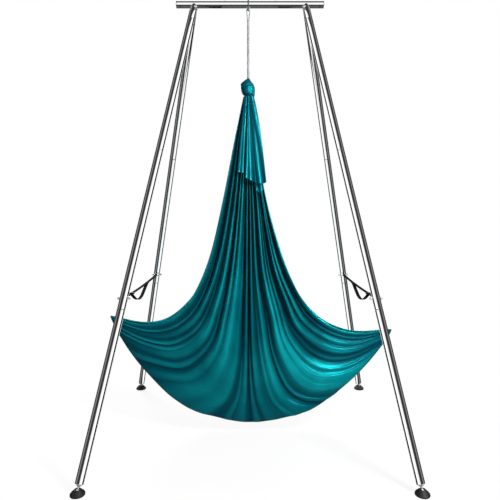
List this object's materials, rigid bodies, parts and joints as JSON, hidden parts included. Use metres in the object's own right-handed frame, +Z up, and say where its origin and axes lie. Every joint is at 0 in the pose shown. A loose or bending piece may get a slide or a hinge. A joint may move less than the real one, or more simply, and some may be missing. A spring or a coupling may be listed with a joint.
{
  "type": "aerial rig",
  "caption": "Free-standing tube rig with splayed slip-jointed legs, levelling feet and a silk hammock hung by a rope from its top beam.",
  "frame": {"origin": "on the floor, below the middle of the top beam", "axes": "+Z up, +X along the beam to the right as seen from the front, +Y from the viewer towards the back legs"},
  "size_m": [1.9361, 1.58, 2.9635],
  "materials": {
    "chromed_tube": "polished chrome on steel tube",
    "zinc_fittings": "bright zinc",
    "foot_pad": "moulded, satin",
    "buckle": "moulded, satin",
    "webbing": "woven polyester",
    "rope": "laid cord",
    "silk": "soft sheen tricot"
  },
  "bodies": {
    "stand": {"top_beam": "chromed_tube", "beam_cap_left": "chromed_tube", "beam_cap_right": "chromed_tube", "leg_socket_front_left": "chromed_tube", "leg_socket_front_right": "chromed_tube", "leg_socket_back_left": "chromed_tube", "leg_socket_back_right": "chromed_tube", "leg_upper_tube_front_left": "chromed_tube", "leg_upper_tube_front_right": "chromed_tube", "leg_upper_tube_back_left": "chromed_tube", "leg_upper_tube_back_right": "chromed_tube", "leg_middle_tube_front_left": "chromed_tube", "leg_middle_tube_front_right": "chromed_tube", "leg_middle_tube_back_left": "chromed_tube", "leg_middle_tube_back_right": "chromed_tube", "leg_lower_tube_front_left": "chromed_tube", "leg_lower_tube_front_right": "chromed_tube", "leg_lower_tube_back_left": "chromed_tube", "leg_lower_tube_back_right": "chromed_tube", "foot_insert_front_left": "zinc_fittings", "foot_insert_front_right": "zinc_fittings", "foot_insert_back_left": "zinc_fittings", "foot_insert_back_right": "zinc_fittings", "strap_bolt_front_left": "zinc_fittings", "strap_bolt_front_right": "zinc_fittings", "strap_bolt_back_left": "zinc_fittings", "strap_bolt_back_right": "zinc_fittings", "strap_bolt_nut_front_left": "zinc_fittings", "strap_bolt_nut_front_right": "zinc_fittings", "strap_bolt_nut_back_left": "zinc_fittings", "strap_bolt_nut_back_right": "zinc_fittings", "strap_bail_front_left": "zinc_fittings", "strap_bail_front_right": "zinc_fittings", "strap_bail_back_left": "zinc_fittings", "strap_bail_back_right": "zinc_fittings", "strap_left": "webbing", "strap_right": "webbing", "strap_buckle_left": "buckle", "strap_buckle_right": "buckle", "strap_slack_left": "webbing", "strap_slack_right": "webbing"},
    "sling": {"beam_sling": "rope"},
    "rope": {"hanging_rope": "rope"},
    "hammock": {"hammock_knot": "silk", "hammock_tail_short": "silk", "hammock_tail_long": "silk", "hammock_cloth": "silk"},
    "stem_front_left": {"foot_stem_front_left": "zinc_fittings"},
    "stem_front_right": {"foot_stem_front_right": "zinc_fittings"},
    "stem_back_left": {"foot_stem_back_left": "zinc_fittings"},
    "stem_back_right": {"foot_stem_back_right": "zinc_fittings"},
    "pad_front_left": {"foot_pad_front_left": "foot_pad"},
    "pad_front_right": {"foot_pad_front_right": "foot_pad"},
    "pad_back_left": {"foot_pad_back_left": "foot_pad"},
    "pad_back_right": {"foot_pad_back_right": "foot_pad"},
    "lock_nut_front_left": {"foot_lock_nut_front_left": "zinc_fittings"},
    "lock_nut_front_right": {"foot_lock_nut_front_right": "zinc_fittings"},
    "lock_nut_back_left": {"foot_lock_nut_back_left": "zinc_fittings"},
    "lock_nut_back_right": {"foot_lock_nut_back_right": "zinc_fittings"}
  },
  "joints": [
    {"name": "sling_swing", "type": "hinge", "parent": "stand", "child": "sling", "pos_m": [-0.012, 0, 2.928], "axis": [1, 0, 0], "range_deg": [-8, 8]},
    {"name": "rope_sway", "type": "hinge", "parent": "sling", "child": "rope", "pos_m": [-0.012, 0, 2.8868], "axis": [0, 1, 0], "range_deg": [-4, 4]},
    {"name": "hammock_turn", "type": "hinge", "parent": "rope", "child": "hammock", "pos_m": [-0.012, 0, 2.417], "axis": [0, 0, 1], "range_deg": [-10, 10]},
    {"name": "level_front_left", "type": "slide", "parent": "stand", "child": "stem_front_left", "axis": [-0.176, -0.2458, -0.9532], "range_m": [-0.004, 0.025]},
    {"name": "level_front_right", "type": "slide", "parent": "stand", "child": "stem_front_right", "axis": [0.176, -0.2458, -0.9532], "range_m": [-0.004, 0.025]},
    {"name": "level_back_left", "type": "slide", "parent": "stand", "child": "stem_back_left", "axis": [-0.176, 0.2458, -0.9532], "range_m": [-0.004, 0.025]},
    {"name": "level_back_right", "type": "slide", "parent": "stand", "child": "stem_back_right", "axis": [0.176, 0.2458, -0.9532], "range_m": [-0.004, 0.025]},
    {"name": "pad_tip_front_left", "type": "hinge", "parent": "stem_front_left", "child": "pad_front_left", "pos_m": [-0.919, -0.75, 0.02], "axis": [1, 0, 0], "range_deg": [-10, 10]},
    {"name": "pad_tip_front_right", "type": "hinge", "parent": "stem_front_right", "child": "pad_front_right", "pos_m": [0.919, -0.75, 0.02], "axis": [1, 0, 0], "range_deg": [-10, 10]},
    {"name": "pad_tip_back_left", "type": "hinge", "parent": "stem_back_left", "child": "pad_back_left", "pos_m": [-0.919, 0.75, 0.02], "axis": [1, 0, 0], "range_deg": [-10, 10]},
    {"name": "pad_tip_back_right", "type": "hinge", "parent": "stem_back_right", "child": "pad_back_right", "pos_m": [0.919, 0.75, 0.02], "axis": [1, 0, 0], "range_deg": [-10, 10]},
    {"name": "lock_nut_turn_front_left", "type": "hinge", "parent": "stand", "child": "lock_nut_front_left", "pos_m": [-0.919, -0.75, 0.02], "axis": [-0.176, -0.2458, -0.9532], "continuous": true},
    {"name": "lock_nut_turn_front_right", "type": "hinge", "parent": "stand", "child": "lock_nut_front_right", "pos_m": [0.919, -0.75, 0.02], "axis": [0.176, -0.2458, -0.9532], "continuous": true},
    {"name": "lock_nut_turn_back_left", "type": "hinge", "parent": "stand", "child": "lock_nut_back_left", "pos_m": [-0.919, 0.75, 0.02], "axis": [-0.176, 0.2458, -0.9532], "continuous": true},
    {"name": "lock_nut_turn_back_right", "type": "hinge", "parent": "stand", "child": "lock_nut_back_right", "pos_m": [0.919, 0.75, 0.02], "axis": [0.176, 0.2458, -0.9532], "continuous": true}
  ]
}
